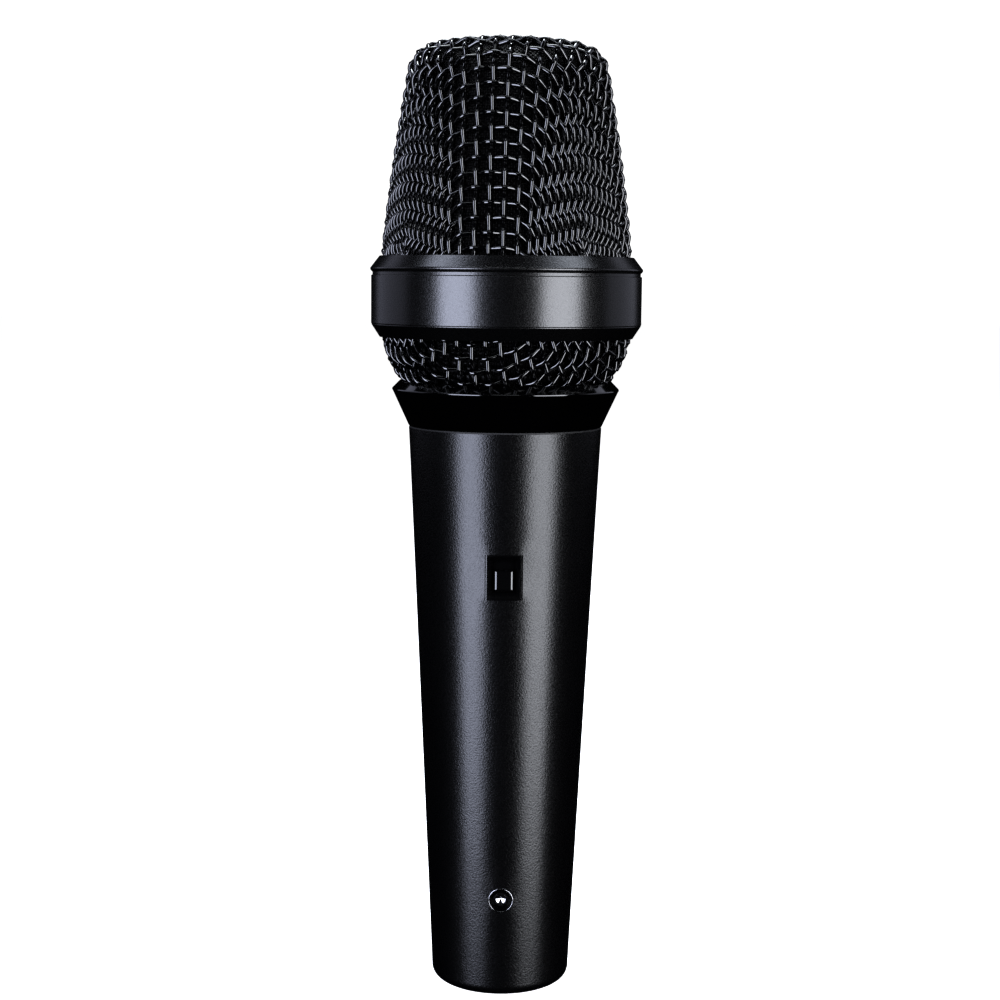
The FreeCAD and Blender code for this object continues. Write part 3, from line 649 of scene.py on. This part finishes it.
def makeCapFelt():     # a disc of damping felt, flat against the inside of the capsule's cap
    low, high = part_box("cap_felt")
    radius = (high.x - low.x) / 2
    bm = bmesh.new()
    bmesh.ops.create_circle(bm, segments=capFelt["around"], radius=radius, cap_ends=True, cap_tris=False)
    for ring in range(capFelt["rings"]):
        bmesh.ops.inset_region(bm, faces=[max(bm.faces, key=lambda face: len(face.verts))],
                               thickness=radius / (capFelt["rings"] + 1), use_boundary=True)
    disc = bm.faces[:]
    for vert in bm.verts:
        vert.co.z = high.z
    rim = [edge for edge in bm.edges if edge.is_boundary]
    lower = bmesh.ops.duplicate(bm, geom=bm.verts[:] + bm.edges[:] + disc)
    lowerRim = [lower["edge_map"][edge] for edge in rim]
    for vert in [item for item in lower["geom"] if isinstance(item, bmesh.types.BMVert)]:
        vert.co.z -= capFelt["thick"] + noise.noise(vert.co / capFelt["fuzzSize"]) * capFelt["fuzz"]
    bmesh.ops.bridge_loops(bm, edges=rim + lowerRim)
    bmesh.ops.recalc_face_normals(bm, faces=bm.faces[:])
    piece = newPiece("capFeltDisc", toMesh(bm, "capFeltDisc"), "felt", "capsule")
    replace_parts(piece, "cap_felt")
    print("capFeltDisc made")


makeCapFelt()


def makeBending(name, bm, slot):     # a soft piece between the handle and the floating capsule
    piece = bpy.data.objects.new(name, toMesh(bm, name))
    scene.collection.objects.link(piece)
    piece.data.set_sharp_from_angle(angle=math.radians(40))
    piece.data.materials.append(finishes[slot])
    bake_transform(piece)
    return piece


softMount = {"wall": 2.15 * mm, "waist": 0.6 * mm, "plainEnd": 0.15, "rows": 24, "around": 120}


def makeSoftMount():     # the capsule's rubber sleeve, with a waist that lets it give
    low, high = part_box("shock_mount")
    bm = bmesh.new()
    inside, outside = [], []
    for row in range(softMount["rows"] + 1):
        t = row / softMount["rows"]
        turn = math.tau * min(1.0, max(0.0, (t - softMount["plainEnd"]) / (1 - 2 * softMount["plainEnd"])))
        z = low.z + (high.z - low.z) * t
        outside.append((high.x - softMount["waist"] * (1 - math.cos(turn)) / 2, z))
        inside.append((high.x - softMount["wall"], z))
    loop = [bm.verts.new((r, 0, z)) for r, z in outside + inside[::-1]]
    for first, second in zip(loop, loop[1:] + loop[:1]):
        bm.edges.new((first, second))
    turnRound(bm, softMount["around"])
    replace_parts(makeBending("softMount", bm, "mount_rubber"), "shock_mount")
    print("softMount made")


makeSoftMount()


wires = {"fixedBelow": 3.0 * mm, "movesAbove": 12.0 * mm, "step": 0.5 * mm}


def makeCapsuleWire(name, node, slot):     # a capsule lead, cut into short lengths so that it can bend
    low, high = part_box(node)
    bm = bmesh.new()
    bm.from_mesh(frame["nodes"][node].data)
    bmesh.ops.remove_doubles(bm, verts=bm.verts[:], dist=0.001 * mm)
    start, end = low.z + wires["fixedBelow"], low.z + wires["movesAbove"]
    for k in range(int((end - start) / wires["step"]) + 1):
        bmesh.ops.bisect_plane(bm, geom=bm.verts[:] + bm.edges[:] + bm.faces[:], plane_no=(0, 0, 1),
                               plane_co=(0, 0, start + k * wires["step"]))
    bmesh.ops.recalc_face_normals(bm, faces=bm.faces[:])
    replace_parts(makeBending(name, bm, slot), node)
    print(name, "made")


makeCapsuleWire("capsuleWireRight", "capsule_lead_right", "lead_red")
makeCapsuleWire("capsuleWireLeft", "capsule_lead_left", "lead_blue")


stage = {"floorSize": 6.0, "glow": 1.0, "backGlow": 1.1, "ambient": 0.002, "gamma": 0.72}


def setStage():     # a pale floor and backdrop that only the camera sees
    bm = bmesh.new()
    bmesh.ops.create_grid(bm, x_segments=1, y_segments=1, size=stage["floorSize"])
    floor = bpy.data.objects.new("floor", toMesh(bm, "floor", False))
    scene.collection.objects.link(floor)
    f = Finish("paleFloor")
    speck = f.noise(0.3, 2.0)
    pale = f.blend(speck, (0.86, 0.86, 0.86), (0.90, 0.90, 0.90))
    floor.data.materials.append(f.give(colour=pale, rough=0.9, specular=0.0, glow=(1.0, 1.0, 1.0),
                                       glowPower=stage["glow"]))
    floor.visible_glossy = False
    floor.visible_diffuse = False
    floor.visible_shadow = False
    scene.view_settings.view_transform = "Standard"
    scene.view_settings.gamma = stage["gamma"]
    world = bpy.data.worlds.new("studio")
    scene.world = world
    world.use_nodes = True
    tree = world.node_tree
    tree.nodes.clear()
    path = tree.nodes.new("ShaderNodeLightPath")
    seen, lit = tree.nodes.new("ShaderNodeBackground"), tree.nodes.new("ShaderNodeBackground")
    seen.inputs[0].default_value, seen.inputs[1].default_value = (1, 1, 1, 1), stage["backGlow"]
    lit.inputs[0].default_value, lit.inputs[1].default_value = (1, 1, 1, 1), stage["ambient"]
    mix, end = tree.nodes.new("ShaderNodeMixShader"), tree.nodes.new("ShaderNodeOutputWorld")
    tree.links.new(path.outputs["Is Camera Ray"], mix.inputs[0])
    tree.links.new(lit.outputs[0], mix.inputs[1])
    tree.links.new(seen.outputs[0], mix.inputs[2])
    tree.links.new(mix.outputs[0], end.inputs[0])


setStage()


# azimuth in degrees, distance, height, width and length in metres, power in watts, colour
lamps = {
    "leftBox": (-42, 0.75, 0.115, 0.44, 0.79, 11.8, (0.80, 0.84, 1.0)),
    "rightBox": (46, 0.75, 0.115, 0.47, 0.79, 11.7, (0.92, 0.94, 1.0)),
    "leftSide": (-115, 0.7, 0.32, 0.70, 0.55, 1.05, (0.80, 0.82, 1.0)),
    "rightSide": (115, 0.7, 0.32, 0.70, 0.55, 1.05, (0.84, 0.86, 1.0)),
    "leftTop": (-92, 0.33, 0.74, 0.20, 0.30, 1.3, (0.80, 0.85, 1.0)),
    "rightTop": (92, 0.33, 0.74, 0.20, 0.30, 1.2, (0.85, 0.90, 1.0)),
    "frontTop": (0, 0.52, 0.62, 0.30, 0.10, 0.6, (0.90, 0.95, 1.0)),
    "overhead": (180, 0.22, 0.80, 0.34, 0.34, 5.0, (0.90, 0.95, 1.0)),
}
lampsAim = Vector((0, 0, 0.09))     # half way up the object


def addLamp(name, azimuth, away, height, width, tall, power, colour):
    data = bpy.data.lights.new(name, "AREA")
    data.shape, data.size, data.size_y = "RECTANGLE", width, tall
    data.energy, data.color = power, colour
    lamp = bpy.data.objects.new(name, data)
    lamp.visible_camera = False
    scene.collection.objects.link(lamp)
    a = math.radians(azimuth)
    lamp.location = (math.sin(a) * away, -math.cos(a) * away, height)
    lamp.rotation_euler = (lampsAim - lamp.location).to_track_quat("-Z", "Y").to_euler()


for name, settings in lamps.items():
    addLamp(name, *settings)


camera = {"lens": 67.3, "away": 357.8 * mm, "height": 93.6 * mm, "tilt": 6.7, "sideways": -0.84 * mm,
          "roll": 0.55}


def setCamera():
    data = bpy.data.cameras.new("camera")
    data.lens, data.sensor_width = camera["lens"], 36
    data.clip_start, data.clip_end = 0.01, 10
    eye = bpy.data.objects.new("camera", data)
    scene.collection.objects.link(eye)
    tilt = math.radians(camera["tilt"])
    eye.location = (camera["sideways"], -camera["away"] * math.cos(tilt),
                    camera["height"] + camera["away"] * math.sin(tilt))
    roll = Matrix.Rotation(math.radians(camera["roll"]), 4, "Z")
    eye.rotation_euler = (Matrix.Rotation(math.radians(90) - tilt, 4, "X") @ roll).to_euler()
    scene.camera = eye


setCamera()
print("stage, lamps and camera set")
